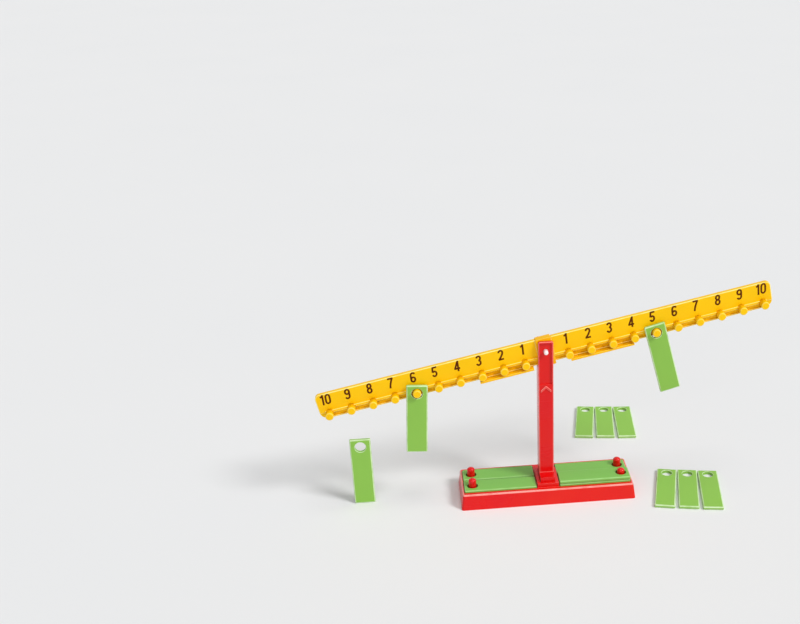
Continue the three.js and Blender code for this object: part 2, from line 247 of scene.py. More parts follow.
def build_surface_effect():
    """The group Moulded Surface."""
    tree = bpy.data.node_groups.new("Moulded Surface", "ShaderNodeTree")
    add_input(tree, "Colour", "NodeSocketColor", (0.8, 0.8, 0.8, 1))
    add_input(tree, "Highlight Colour", "NodeSocketColor", (1, 1, 1, 1))
    add_input(tree, "Drift", "NodeSocketFloat", 0.06)
    add_input(tree, "Drift Scale", "NodeSocketFloat", 14.0)
    add_input(tree, "Grain Scale", "NodeSocketFloat", 1400.0)
    add_input(tree, "Gloss Roughness", "NodeSocketFloat", 0.35)
    add_input(tree, "Rub", "NodeSocketFloat", 0.5)
    add_input(tree, "Edge Highlight", "NodeSocketFloat", 0.4)
    for name, kind in (("Colour", "Color"), ("Roughness", "Float"), ("Height", "Float")):
        tree.interface.new_socket(name=name, in_out="OUTPUT", socket_type="NodeSocket" + kind)
    nodes = tree.nodes
    links = tree.links
    given = nodes.new("NodeGroupInput")
    result = nodes.new("NodeGroupOutput")
    where = nodes.new("ShaderNodeTexCoord")

    # The slow drift of the colour
    drift = nodes.new("ShaderNodeTexNoise")
    drift.inputs["Detail"].default_value = 3
    links.new(where.outputs["Object"], drift.inputs["Vector"])
    links.new(given.outputs["Drift Scale"], drift.inputs["Scale"])
    centred = math_node(tree, "SUBTRACT", drift.outputs["Fac"], 0.5)
    swing = math_node(tree, "MULTIPLY", centred.outputs[0], given.outputs["Drift"])
    value = math_node(tree, "MULTIPLY_ADD", swing.outputs[0], 2.0)
    value.inputs[2].default_value = 1.0
    hue = math_node(tree, "MULTIPLY_ADD", swing.outputs[0], 0.12)
    hue.inputs[2].default_value = 0.5
    drifted = nodes.new("ShaderNodeHueSaturation")
    links.new(given.outputs["Colour"], drifted.inputs["Color"])
    links.new(hue.outputs[0], drifted.inputs["Hue"])
    links.new(value.outputs[0], drifted.inputs["Value"])

    # Painted highlight on the edges: the faces of the rounds carry a mark, and noise breaks the paler colour into
    # patches
    edge = nodes.new("ShaderNodeAttribute")
    edge.attribute_name = highlight_mark
    patchy = nodes.new("ShaderNodeTexNoise")
    patchy.inputs["Scale"].default_value = 90
    links.new(where.outputs["Object"], patchy.inputs["Vector"])
    patches = nodes.new("ShaderNodeMapRange")
    patches.inputs["From Min"].default_value = 0.3
    patches.inputs["From Max"].default_value = 0.55
    patches.inputs["To Min"].default_value = 0.5
    links.new(patchy.outputs["Fac"], patches.inputs["Value"])
    patchy_edges = math_node(tree, "MULTIPLY", edge.outputs["Fac"], patches.outputs["Result"])
    highlight_strength = math_node(tree, "MULTIPLY", patchy_edges.outputs[0], given.outputs["Edge Highlight"])
    tinted = nodes.new("ShaderNodeMix")
    tinted.data_type = "RGBA"
    links.new(highlight_strength.outputs[0], tinted.inputs["Factor"])
    links.new(drifted.outputs["Color"], tinted.inputs["A"])
    links.new(given.outputs["Highlight Colour"], tinted.inputs["B"])
    links.new(tinted.outputs["Result"], result.inputs["Colour"])

    # Rub marks: thin, long streaks that only a highlight shows
    stretched = nodes.new("ShaderNodeMapping")
    stretched.inputs["Rotation"].default_value = (0.3, 0.5, 0.2)
    stretched.inputs["Scale"].default_value = (1.0, 1.0, 14.0)
    links.new(where.outputs["Object"], stretched.inputs["Vector"])
    streaks = nodes.new("ShaderNodeTexNoise")
    streaks.inputs["Scale"].default_value = 60
    streaks.inputs["Detail"].default_value = 4
    links.new(stretched.outputs["Vector"], streaks.inputs["Vector"])
    marks = nodes.new("ShaderNodeMapRange")
    marks.inputs["From Min"].default_value = 0.6
    marks.inputs["From Max"].default_value = 0.72
    links.new(streaks.outputs["Fac"], marks.inputs["Value"])
    rubbed = math_node(tree, "MULTIPLY", marks.outputs["Result"], given.outputs["Rub"])

    # Roughness: the mould's polish, less even where the piece was rubbed and at its edges
    uneven = math_node(tree, "MULTIPLY", centred.outputs[0], 0.12)
    base = math_node(tree, "ADD", given.outputs["Gloss Roughness"], uneven.outputs[0])
    scuffed = math_node(tree, "MULTIPLY_ADD", rubbed.outputs[0], 0.14)
    links.new(base.outputs[0], scuffed.inputs[2])
    edged = math_node(tree, "MULTIPLY_ADD", patchy_edges.outputs[0], 0.1)
    links.new(scuffed.outputs[0], edged.inputs[2])
    links.new(edged.outputs[0], result.inputs["Roughness"])

    # Height: the fine grain of the mould, less the rub marks
    grain = nodes.new("ShaderNodeTexNoise")
    grain.inputs["Detail"].default_value = 2
    links.new(where.outputs["Object"], grain.inputs["Vector"])
    links.new(given.outputs["Grain Scale"], grain.inputs["Scale"])
    cut = math_node(tree, "MULTIPLY", rubbed.outputs[0], -0.25)
    height = math_node(tree, "ADD", grain.outputs["Fac"], cut.outputs[0])
    links.new(height.outputs[0], result.inputs["Height"])
    return tree


surface_effect = build_surface_effect()
print("group:", surface_effect.name, [item.name for item in surface_effect.interface.items_tree])

# %% [markdown]
# ## The finishes
# The stand is glossy red, the beam satin yellow, the adjusters and the hub a
# deeper, more orange yellow, the tablets matt green and the pin white. The
# stored tablets are the same plastic as the loose ones, but get a cooler,
# slightly darker green as painted shade and a fainter painted highlight on
# their edges, while the loose ones get the stronger painted highlight. Each
# material takes the shared effect with its own values and keeps its own
# shader. The colours are written as a painter reads them, 0 to 255, and
# turned into light.

# %% Mix the plastics and the ink


def paint(red, green, blue):
    """A colour from 0 to 255 as the light that the shader wants."""
    parts = []
    for part in (red, green, blue):
        part /= 255
        parts.append(part / 12.92 if part <= 0.04045 else ((part + 0.055) / 1.055) ** 2.4)
    return (*parts, 1)


def moulded(name, colour, pale, roughness, grain_depth, coat=0.0, edge=0.4, shine=0.35):
    """A plastic material: the shared effect with these values, and its own shader."""
    material, nodes, links, shader = new_material(name)
    effect = nodes.new("ShaderNodeGroup")
    effect.node_tree = surface_effect
    effect.inputs["Colour"].default_value = colour
    effect.inputs["Highlight Colour"].default_value = pale
    effect.inputs["Gloss Roughness"].default_value = roughness
    effect.inputs["Edge Highlight"].default_value = edge
    links.new(effect.outputs["Colour"], shader.inputs["Base Color"])
    links.new(effect.outputs["Roughness"], shader.inputs["Roughness"])
    bump = nodes.new("ShaderNodeBump")
    bump.inputs["Strength"].default_value = 0.35
    bump.inputs["Distance"].default_value = grain_depth
    links.new(effect.outputs["Height"], bump.inputs["Height"])
    links.new(bump.outputs["Normal"], shader.inputs["Normal"])
    shader.inputs["Specular IOR Level"].default_value = shine
    shader.inputs["Coat Weight"].default_value = coat
    shader.inputs["Coat Roughness"].default_value = 0.12
    return material


# edge sets how strong each plastic's painted highlight on its rounds is, in its pale colour; the red's pink one
# draws the bright line along the tray's rim
red_plastic = moulded(
    "red_stand_plastic", paint(221, 12, 8), paint(255, 168, 158), 0.28, 0.04 * mm,
    coat=0.35, edge=0.8, shine=0.15,
)
yellow_plastic = moulded(
    "yellow_beam_plastic", paint(252, 199, 0), paint(255, 252, 165), 0.4, 0.05 * mm,
    edge=0.65, shine=0.16,
)
deep_yellow_plastic = moulded(
    "yellow_adjuster_plastic", paint(251, 189, 2), paint(255, 244, 130), 0.4, 0.05 * mm,
    edge=0.5, shine=0.16,
)
# The stored and loose tablets are one plastic in two copies: the stored one has painted shade, a cooler, slightly
# darker green, and a weak painted edge highlight; the loose one is the lit copy, with a strong painted edge
# highlight
stored_green_shaded_copy = moulded(
    "green_stored_shaded_copy", paint(124, 186, 82), paint(206, 238, 180), 0.48, 0.06 * mm, edge=0.25
)
loose_green_lit_copy = moulded(
    "green_loose_lit_copy", paint(137, 189, 74), paint(236, 252, 218), 0.48, 0.06 * mm, edge=0.6
)
white_plastic = moulded(
    "white_pin_plastic", paint(250, 238, 236), paint(255, 255, 255), 0.34, 0.04 * mm
)
brown_ink = moulded(
    "brown_number_ink", paint(98, 46, 4), paint(130, 80, 20), 0.6, 0.03 * mm, shine=0.1
)
print("materials:", [m.name for m in bpy.data.materials if m.users])

# %% [markdown]
# ## From CAD solid to moulded piece
# A CAD solid has knife edges, and nothing that came out of a mould has. For
# the tray, the column, the hub, the adjusters and the pin the solid's own
# faces are right, so a copy is merged, its flat faces are joined up, and each
# sharp edge gets a small round. Normals weighted by area then keep the flats
# flat. The copy stands in for the CAD node, which stays hidden behind it.

# %% Soften copies of the CAD solids
merge_distance = 0.001 * mm
sharp_edge = math.radians(30)
flat_limit = math.radians(1)
wide_steps = 4
# How strong the painted highlight is on the small rounds
small_round_highlight = 0.7

# Where the edges lie that get a wider round than the rest
near = 0.02 * mm
tray_height = 16 * mm
tray_rim_x = 87.4 * mm
tray_rim_y = 26 * mm
column_front = -7.5 * mm
column_side = 7.4 * mm
panel_side = 5.6 * mm
panel_top = 170.3 * mm
foot_top = 25.4 * mm
arrow_front = -8.3 * mm
arrow_side = 5.3 * mm


def settle(piece):
    """Applies a piece's modifiers, so that it is left as a plain mesh."""
    graph = bpy.context.evaluated_depsgraph_get()
    plain = bpy.data.meshes.new_from_object(piece.evaluated_get(graph), depsgraph=graph)
    plain.name = piece.name
    piece.modifiers.clear()
    piece.data = plain


def new_piece(name, mesh, material):
    """A smooth-shaded piece at the origin, its flats kept flat by weighted normals."""
    mesh.materials.clear()
    mesh.materials.append(material)
    for face in mesh.polygons:
        face.material_index = 0
        face.use_smooth = True
    piece = bpy.data.objects.new(name, mesh)
    bpy.context.scene.collection.objects.link(piece)
    even = piece.modifiers.new("Even normals", "WEIGHTED_NORMAL")
    even.keep_sharp = True
    settle(piece)
    return piece


def body_of_node(node):
    """The body that a CAD node belongs to."""
    for body, members in frame["record"]["behaviour"]["bodies"].items():
        if node in members:
            return body
    return None


def stand_in(piece, node):
    """Lets the piece take the place of a CAD node and ride on its body."""
    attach(piece, body_of_node(node))
    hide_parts(node)


def mark_of(shell):
    """The layer that marks the faces of the rounds with the strength of their painted highlight."""
    return shell.faces.layers.float.get(highlight_mark) or shell.faces.layers.float.new(highlight_mark)


def rounded_off(shell, chosen, edge, steps, highlight_strength, clamp=True):
    """Rounds the sharp edges whose ends are both chosen, and marks the new faces for a painted highlight of the
    given strength.
    """
    lines = [
        line
        for line in shell.edges
        if len(line.link_faces) == 2
        and line.calc_face_angle() > sharp_edge
        and all(chosen(vertex.co) for vertex in line.verts)
    ]
    made = bmesh.ops.bevel(
        shell,
        geom=lines,
        offset=edge,
        segments=steps,
        profile=0.5,
        affect="EDGES",
        clamp_overlap=clamp,
    )
    for face in made["faces"]:
        face[mark_of(shell)] = highlight_strength


def skin(shell, one, two):
    """Joins two equal rings of vertices with faces, marked for the full painted highlight where the step between
    them slopes.
    """
    mark = mark_of(shell)
    step_out = two[0].co - one[0].co
    straight = math.hypot(step_out.x, step_out.z) < merge_distance
    sloping = abs(step_out.y) > merge_distance and not straight
    for step in range(len(one)):
        after = (step + 1) % len(one)
        face = shell.faces.new((one[step], one[after], two[after], two[step]))
        face[mark] = sloping


def softened(node, edge, steps, wide_rounds):
    """A copy of a CAD solid with some wider rounds first and a small one on every other edge."""
    shell = bmesh.new()
    shell.from_mesh(frame["nodes"][node].data)
    bmesh.ops.remove_doubles(shell, verts=shell.verts, dist=merge_distance)
    bmesh.ops.dissolve_limit(shell, angle_limit=flat_limit, verts=shell.verts, edges=shell.edges)
    mark_of(shell)
    for chosen, wide_edge, highlight_strength in wide_rounds:
        rounded_off(shell, chosen, wide_edge, wide_steps, highlight_strength, clamp=False)
    rounded_off(shell, anywhere, edge, steps, small_round_highlight)
    mesh = bpy.data.meshes.new(node + "_moulding")
    shell.to_mesh(mesh)
    shell.free()
    return mesh


def on_tray_rim(point):
    """Whether a point is on the tray's outer rim."""
    outside = abs(point.x) > tray_rim_x or abs(point.y) > tray_rim_y
    return abs(point.z - tray_height) < near and outside


def on_column_front(point):
    """Whether a point is on the outline of the column's front face, and not of its sunk panel."""
    at_side = abs(point.x) > column_side
    at_top = abs(point.x) > panel_side and point.z > panel_top
    return abs(point.y - column_front) < near and point.z > foot_top and (at_side or at_top)


def on_arrow(point):
    """Whether a point is on the front of the arrow on the column."""
    return abs(point.y - arrow_front) < near and abs(point.x) < arrow_side and point.z > foot_top


def anywhere(point):
    """Any point at all."""
    return True


# The tray's rim gets the full painted highlight, a bright line along its top edge; the column's front outline and
# its arrow get weaker painted highlights
tray_rounds = [(on_tray_rim, 1.3 * mm, 1.0)]
column_rounds = [(on_column_front, 0.9 * mm, 0.5), (on_arrow, 0.6 * mm, 0.8)]
softened_pieces = [
    ("tray", 0.35 * mm, 2, tray_rounds, red_plastic, "stand_plastic"),
    ("column", 0.25 * mm, 2, column_rounds, red_plastic, "stand_plastic"),
    ("pivot_pin", 0.3 * mm, 2, [], white_plastic, "pin_plastic"),
    ("beam_hub", 0.4 * mm, 3, [], deep_yellow_plastic, "beam_plastic"),
    ("left_adjuster", 0.3 * mm, 2, [], deep_yellow_plastic, "beam_plastic"),
    ("right_adjuster", 0.3 * mm, 2, [], deep_yellow_plastic, "beam_plastic"),
]
for node, edge, steps, wide_rounds, material, slot in softened_pieces:
    piece = new_piece(node + "_moulding", softened(node, edge, steps, wide_rounds), material)
    stand_in(piece, node)
    print(piece.name, "faces:", len(piece.data.polygons))

# %% [markdown]
# ## Tablets
# A tablet is a flat bar with a hanging hole near one end. All 26 are the same
# moulding, so one mesh is made and set down wherever the CAD has one. The
# mesh is a ring of equal loops: round the outside over a soft edge, across
# the back, through the hole and across the front again. The hole's rim has a
# smaller round than the outline, so that the hole doesn't look too wide.
# Where a tablet lies is read from its CAD solid: the largest face gives its
# front, its longest side gives its length, and the end with more corners has
# the hole.

# %% Shape one tablet
tablet_length = 74 * mm
tablet_width = 21 * mm
tablet_thickness = 3.6 * mm
tablet_corner = 1.2 * mm
tablet_edge = 1.15 * mm
tablet_hole_radius = 5.5 * mm
tablet_hole_edge = 0.5 * mm
tablet_hole_inset = 8.6 * mm
hole_steps = 64
corner_steps = 5
corner_margin = 0.01
edge_steps = 3


def quarter_turn():
    """The angles of the steps over a round edge."""
    return [(math.pi / 2) * step / edge_steps for step in range(edge_steps + 1)]


def tablet_outline(inset):
    """Points round a tablet as its hole's middle sees them, each with its angle."""
    half_width = tablet_width / 2
    top = tablet_hole_inset
    bottom = tablet_hole_inset - tablet_length
    points = []
    spans = []
    corners = [(1, top, 0), (-1, top, 90), (-1, bottom, 180), (1, bottom, 270)]
    for side, end, start in corners:
        middle_x = side * (half_width - tablet_corner)
        middle_z = end - math.copysign(tablet_corner, end)
        span = []
        for step in range(corner_steps + 1):
            turn = math.radians(start + 90 * step / corner_steps)
            outer_x = middle_x + tablet_corner * math.cos(turn)
            outer_z = middle_z + tablet_corner * math.sin(turn)
            angle = math.atan2(outer_z, outer_x) % math.tau
            span.append(angle)
            radius = tablet_corner - inset
            x = middle_x + radius * math.cos(turn)
            z = middle_z + radius * math.sin(turn)
            points.append((angle, x, z))
        spans.append((span[0], span[-1]))
    for step in range(hole_steps):
        angle = math.tau * (step + 0.5) / hole_steps
        if any(low - corner_margin < angle < high + corner_margin for low, high in spans):
            continue
        reach = []
        if math.cos(angle):
            side = math.copysign(half_width, math.cos(angle))
            reach.append((side / math.cos(angle), "side"))
        end = top if math.sin(angle) > 0 else bottom
        reach.append((end / math.sin(angle), "end"))
        distance, wall = min(reach)
        x = distance * math.cos(angle)
        z = distance * math.sin(angle)
        if wall == "side":
            x -= math.copysign(inset, x)
        else:
            z -= math.copysign(inset, z)
        points.append((angle, x, z))
    return sorted(points)


def tablet_mesh():
    """A tablet that hangs from its hole, which is at the origin."""
    shell = bmesh.new()
    thick = tablet_thickness / 2
    profile = [(turn, -1) for turn in quarter_turn()] + [(turn, 1) for turn in quarter_turn()[::-1]]
    loops = []
    for turn, face in profile:
        y = face * (thick - tablet_edge * (1 - math.cos(turn)))
        inset = tablet_edge * (1 - math.sin(turn))
        loops.append([(x, y, z) for angle, x, z in tablet_outline(inset)])
    angles = [angle for angle, x, z in tablet_outline(0)]
    for turn, face in reversed(profile):
        y = face * (thick - tablet_hole_edge * (1 - math.cos(turn)))
        radius = tablet_hole_radius + tablet_hole_edge * (1 - math.sin(turn))
        loops.append([(radius * math.cos(a), y, radius * math.sin(a)) for a in angles])
    mark_of(shell)
    rings = [[shell.verts.new(point) for point in loop] for loop in loops]
    for one, two in zip(rings, rings[1:] + rings[:1]):
        skin(shell, one, two)
    bmesh.ops.recalc_face_normals(shell, faces=shell.faces)
    mesh = bpy.data.meshes.new("tablet")
    shell.to_mesh(mesh)
    shell.free()
    return mesh


tablet_shape = tablet_mesh()
print("tablet faces:", len(tablet_shape.polygons))

# %% Set a tablet down wherever the CAD has one


def tablet_place(node):
    """The matrix that takes the tablet's mesh to a CAD tablet."""
    shell = bmesh.new()
    shell.from_mesh(frame["nodes"][node].data)
    bmesh.ops.remove_doubles(shell, verts=shell.verts, dist=merge_distance)
    bmesh.ops.dissolve_limit(shell, angle_limit=flat_limit, verts=shell.verts, edges=shell.edges)
    front = max(shell.faces, key=lambda face: face.calc_area()).normal.copy()
    if front.dot(forward) > 0:
        front.negate()
    longest = max(shell.edges, key=lambda line: line.calc_length())
    length = (longest.verts[1].co - longest.verts[0].co).normalized()
    back = -front
    across = back.cross(length).normalized()
    points = [vertex.co.copy() for vertex in shell.verts]
    shell.free()
    middle = Vector()
    for axis in (across, back, length):
        along = [point.dot(axis) for point in points]
        middle += axis * (min(along) + max(along)) / 2
    crowd = sum((point - middle).dot(length) for point in points)
    if crowd < 0:
        length.negate()
        across.negate()
    hole = middle + length * (tablet_length / 2 - tablet_hole_inset)
    place = Matrix((across, back, length)).transposed().to_4x4()
    place.translation = hole
    return place


tablet_nodes = sorted(name for name in frame["nodes"] if "tablet" in name)
for node in tablet_nodes:
    mesh = tablet_shape.copy()
    mesh.name = node + "_moulding"
    mesh.transform(tablet_place(node))
    # Stored tablets take the shaded copy of the green, loose ones the lit copy
    stored = "_front_" in node or "_back_" in node
    material = stored_green_shaded_copy if stored else loose_green_lit_copy
    stand_in(new_piece(mesh.name, mesh, material), node)
bpy.data.meshes.remove(tablet_shape)
print("tablets:", len(tablet_nodes))

# %% [markdown]
# ## The beam's arms
# Each arm is one moulding: a thin panel with a rim round its back, a ledge
# across its face that keeps the tablets off the panel, and a rail below on
# which an adjuster slides. These are lofted slabs: equal loops of points that
# go over a soft edge and come back as a pocket, made in the level beam's own
# axes, along the beam and up from the pivot, and tilted together at the end.

# %% Loft the panels
beam_joint = next(joint for joint in frame["joints"] if joint["name"] == "beam_pivot")
beam_tilt = math.radians(sum(beam_joint["range_deg"]) / 2)
beam_place = Matrix.Translation(beam_joint["pos_m"]) @ Matrix.Rotation(-beam_tilt, 4, "Y")
arm_inner = 7.8 * mm
arm_outer = 230 * mm
arm_top = 12.5 * mm
arm_low = -8 * mm
arm_face = -2.2 * mm
arm_back = 2.2 * mm
arm_skin = 1.8 * mm
arm_edge = 0.8 * mm
arm_corners = [0.6 * mm, 1.2 * mm, 5 * mm, 0.6 * mm]
rim_edge = 0.3 * mm
least_corner = 0.15 * mm


def corner_loop(x0, x1, z0, z1, radii):
    """A closed loop round a rectangle, its corners rounded from the lower left on."""
    loop = []
    corners = [(x0, z0, 180, 1, 1), (x1, z0, 270, -1, 1), (x1, z1, 0, -1, -1), (x0, z1, 90, 1, -1)]
    for (x, z, start, step_x, step_z), radius in zip(corners, radii):
        for step in range(corner_steps + 1):
            turn = math.radians(start + 90 * step / corner_steps)
            along = x + step_x * radius + radius * math.cos(turn)
            up = z + step_z * radius + radius * math.sin(turn)
            loop.append((along, up))
    return loop


def shrunk(box, radii, inset):
    """The loop of a rectangle drawn in by inset, with its corners drawn in to match."""
    x0, x1, z0, z1 = box
    tighter = [max(radius - inset, least_corner) for radius in radii]
    return corner_loop(x0 + inset, x1 - inset, z0 + inset, z1 - inset, tighter)


def loft(shell, loops, side):
    """Skins equal loops, each with its depth, one after another and closes both ends."""
    mark_of(shell)
    rings = [[shell.verts.new((side * x, y, z)) for x, z in loop] for loop, y in loops]
    for one, two in zip(rings, rings[1:]):
        skin(shell, one, two)
    shell.faces.new(rings[0])
    shell.faces.new(rings[-1])


def rounded(box, radii, y, edge, outward):
    """Loops over a soft edge of a slab. outward is -1 for a front edge and 1 for a back one."""
    loops = []
    for turn in quarter_turn():
        inset = edge * (1 - math.sin(turn))
        loops.append((shrunk(box, radii, inset), y - outward * edge * (1 - math.cos(turn))))
    return loops


def slab(shell, side, box, depths, edge, radii):
    """A solid bar between a front and a back depth, with all its edges rounded."""
    front, back = depths
    loops = rounded(box, radii, front, edge, -1) + rounded(box, radii, back, edge, 1)[::-1]
    loft(shell, loops, side)


def add_panel(shell, side):
    """The arm's face, with a rim that makes its back an open pocket."""
    box = (arm_inner, arm_outer, arm_low, arm_top)
    loops = rounded(box, arm_corners, arm_face, arm_edge, -1)
    loops += rounded(box, arm_corners, arm_back, rim_edge, 1)[::-1]
    for turn in quarter_turn():
        inset = arm_skin - rim_edge * (1 - math.sin(turn))
        loops.append((shrunk(box, arm_corners, inset), arm_back - rim_edge * (1 - math.cos(turn))))
    loops.append((shrunk(box, arm_corners, arm_skin), arm_face + arm_skin))
    loft(shell, loops, side)


print("beam tilt in degrees:", math.degrees(beam_tilt))

# %% Loft the ledge, the rail, its stop and the tenons
rail_end = 224 * mm
ledge_box = (arm_inner, rail_end, -8.1 * mm, -5.5 * mm)
ledge_depths = (-4 * mm, -1.6 * mm)
ledge_edge = 0.4 * mm
rail_low = -13.5 * mm
web_box = (arm_inner, arm_outer - 0.1 * mm, rail_low, -6.9 * mm)
web_depths = (-1.2 * mm, 1.2 * mm)
web_edge = 0.3 * mm
web_corners = [web_edge, 6 * mm, web_edge, web_edge]
lip_box = (arm_inner, rail_end, rail_low, -12.3 * mm)
lip_depths = (-3.4 * mm, 3.4 * mm)
lip_edge = 0.35 * mm
stop_box = (98 * mm, 99.6 * mm, -13 * mm, -11.2 * mm)
stop_depths = (0.4 * mm, 3.3 * mm)
stop_edge = 0.2 * mm
tenon_middles = (6 * mm, -10.3 * mm)
tenon_inner = 3.6 * mm
tenon_outer = 9.6 * mm
tenon_height = 6 * mm
tenon_depths = (-1.15 * mm, 1.15 * mm)
tenon_edge = 0.3 * mm
tenon_corner = 0.4 * mm
bars = [
    (ledge_box, ledge_depths, ledge_edge, [ledge_edge] * 4),
    (web_box, web_depths, web_edge, web_corners),
    (lip_box, lip_depths, lip_edge, [lip_edge] * 4),
    (stop_box, stop_depths, stop_edge, [stop_edge] * 4),
]
for middle in tenon_middles:
    tenon_box = (tenon_inner, tenon_outer, middle - tenon_height / 2, middle + tenon_height / 2)
    bars.append((tenon_box, tenon_depths, tenon_edge, [tenon_corner] * 4))


def arm_shell(side):
    """The arm without its pegs and ribs. side is 1 on the right and -1 on the left."""
    shell = bmesh.new()
    add_panel(shell, side)
    for bar in bars:
        slab(shell, side, *bar)
    bmesh.ops.recalc_face_normals(shell, faces=shell.faces)
    mesh = bpy.data.meshes.new("arm_shell")
    shell.to_mesh(mesh)
    shell.free()
    return mesh


print("bars beside an arm's panel:", len(bars))

# %% [markdown]
# ## Pegs and ribs
# Ten pegs stand on each arm at equal steps, and a rib backs each one. That is
# a rule, so Geometry Nodes lay them out: a line of points, one peg or rib on
# each point, and every size a named input. The peg starts as a cylinder whose
# free end is drawn in over a few short steps, which rounds it as the mould
# does. The result is made real and joined to the arm's mesh.

# %% Build the Geometry Nodes trees for the pegs and ribs
peg_count = 10
peg_pitch = 22 * mm
peg_drop = 8.2 * mm
peg_radius = 4 * mm
peg_root = -0.8 * mm
peg_front = -12.5 * mm
peg_edge = 0.9 * mm
peg_edge_steps = 4
peg_sides = 48
peg_round_highlight = 0.35
rib_width = 1.4 * mm
rib_low = arm_low + arm_skin / 2
rib_high = arm_top - arm_skin / 2
rib_front = arm_face + arm_skin / 2
rib_back = arm_back - 0.1 * mm


class Tree:
    """A geometry tree with short ways to add inputs, nodes and links."""

    def __init__(self, name):
        self.tree = bpy.data.node_groups.new(name, "GeometryNodeTree")
        self.given = self.tree.nodes.new("NodeGroupInput")
        self.result = self.tree.nodes.new("NodeGroupOutput")
        for way in ("INPUT", "OUTPUT"):
            self.tree.interface.new_socket(
                name="Geometry", in_out=way, socket_type="NodeSocketGeometry"
            )

    def input(self, name, kind, value=None):
        """Adds a named input, with the value it starts from, and gives its socket."""
        socket = self.tree.interface.new_socket(name=name, in_out="INPUT", socket_type=kind)
        if value is not None:
            socket.default_value = value
        return self.given.outputs[name]

    def link(self, source, sink):
        """Links one socket to another."""
        self.tree.links.new(source, sink)

    def feed(self, socket, value):
        """Links an input to a socket or sets it to a plain value."""
        if isinstance(value, bpy.types.NodeSocket):
            self.link(value, socket)
        else:
            socket.default_value = value

    def node(self, kind, **inputs):
        """Adds a node and feeds its inputs by their names."""
        made = self.tree.nodes.new(kind)
        for name, value in inputs.items():
            self.feed(made.inputs[name.replace("_", " ")], value)
        return made

    def maths(self, operation, *values):
        """The result of a Math node."""
        made = self.tree.nodes.new("ShaderNodeMath")
        made.operation = operation
        for socket, value in zip(made.inputs, values):
            self.feed(socket, value)
        return made.outputs[0]

    def vector(self, x=0.0, y=0.0, z=0.0):
        """Three numbers as one vector."""
        return self.node("ShaderNodeCombineXYZ", X=x, Y=y, Z=z).outputs[0]

    def row_of(self, shape):
        """Sets the shape on a line of points, makes it real and gives it the material."""
        pitch = self.given.outputs["Pitch"]
        start = self.vector(x=pitch, y=self.given.outputs["Depth"], z=self.given.outputs["Height"])
        line = self.node("GeometryNodeMeshLine", Count=self.given.outputs["Count"])
        self.link(start, line.inputs["Start Location"])
        self.link(self.vector(x=pitch), line.inputs["Offset"])
        placed = self.node("GeometryNodeInstanceOnPoints")
        self.link(line.outputs["Mesh"], placed.inputs["Points"])
        self.link(shape, placed.inputs["Instance"])
        real = self.node("GeometryNodeRealizeInstances")
        self.link(placed.outputs["Instances"], real.inputs["Geometry"])
        painted = self.node("GeometryNodeSetMaterial")
        self.link(real.outputs["Geometry"], painted.inputs["Geometry"])
        self.link(self.given.outputs["Material"], painted.inputs["Material"])
        self.link(painted.outputs["Geometry"], self.result.inputs["Geometry"])


def peg_row():
    """A row of pegs that stand out towards -Y."""
    tree = Tree("Row of Pegs")
    tree.input("Count", "NodeSocketInt", peg_count)
    tree.input("Pitch", "NodeSocketFloat", peg_pitch)
    tree.input("Depth", "NodeSocketFloat", peg_root)
    tree.input("Height", "NodeSocketFloat", -peg_drop)
    radius = tree.input("Radius", "NodeSocketFloat", peg_radius)
    reach = tree.input("Reach", "NodeSocketFloat", peg_root - peg_front)
    edge = tree.input("Edge", "NodeSocketFloat", peg_edge)
    sides = tree.input("Sides", "NodeSocketInt", peg_sides)
    tree.input("Material", "NodeSocketMaterial")
    straight = tree.maths("SUBTRACT", reach, edge)
    rod = tree.node("GeometryNodeMeshCylinder", Vertices=sides, Radius=radius, Depth=straight)
    lifted = tree.node("GeometryNodeTransform", Geometry=rod.outputs["Mesh"])
    tree.link(tree.vector(z=tree.maths("MULTIPLY", straight, 0.5)), lifted.inputs["Translation"])
    shape = lifted.outputs["Geometry"]
    end = rod.outputs["Top"]
    for step in range(peg_edge_steps):
        turn = (math.pi / 2) * step / peg_edge_steps
        then = (math.pi / 2) * (step + 1) / peg_edge_steps
        rise = tree.maths("MULTIPLY", edge, math.sin(then) - math.sin(turn))
        pushed = tree.node("GeometryNodeExtrudeMesh", Mesh=shape, Selection=end, Offset_Scale=rise)
        pushed.inputs["Individual"].default_value = False
        now = tree.maths("MULTIPLY_ADD", edge, math.cos(turn) - 1, radius)
        next_one = tree.maths("MULTIPLY_ADD", edge, math.cos(then) - 1, radius)
        drawn = tree.node("GeometryNodeScaleElements")
        tree.link(pushed.outputs["Mesh"], drawn.inputs["Geometry"])
        tree.link(pushed.outputs["Top"], drawn.inputs["Selection"])
        tree.link(tree.maths("DIVIDE", next_one, now), drawn.inputs["Scale"])
        # The faces of the peg's round get a faint painted highlight
        marked = tree.node(
            "GeometryNodeStoreNamedAttribute",
            Geometry=drawn.outputs["Geometry"],
            Selection=pushed.outputs["Side"],
            Name=highlight_mark,
        )
        marked.data_type = "FLOAT"
        marked.domain = "FACE"
        marked.inputs["Value"].default_value = peg_round_highlight
        shape = marked.outputs["Geometry"]
        end = pushed.outputs["Top"]
    turned = tree.node("GeometryNodeTransform", Geometry=shape)
    turned.inputs["Rotation"].default_value = (math.pi / 2, 0, 0)
    tree.row_of(turned.outputs["Geometry"])
    return tree.tree


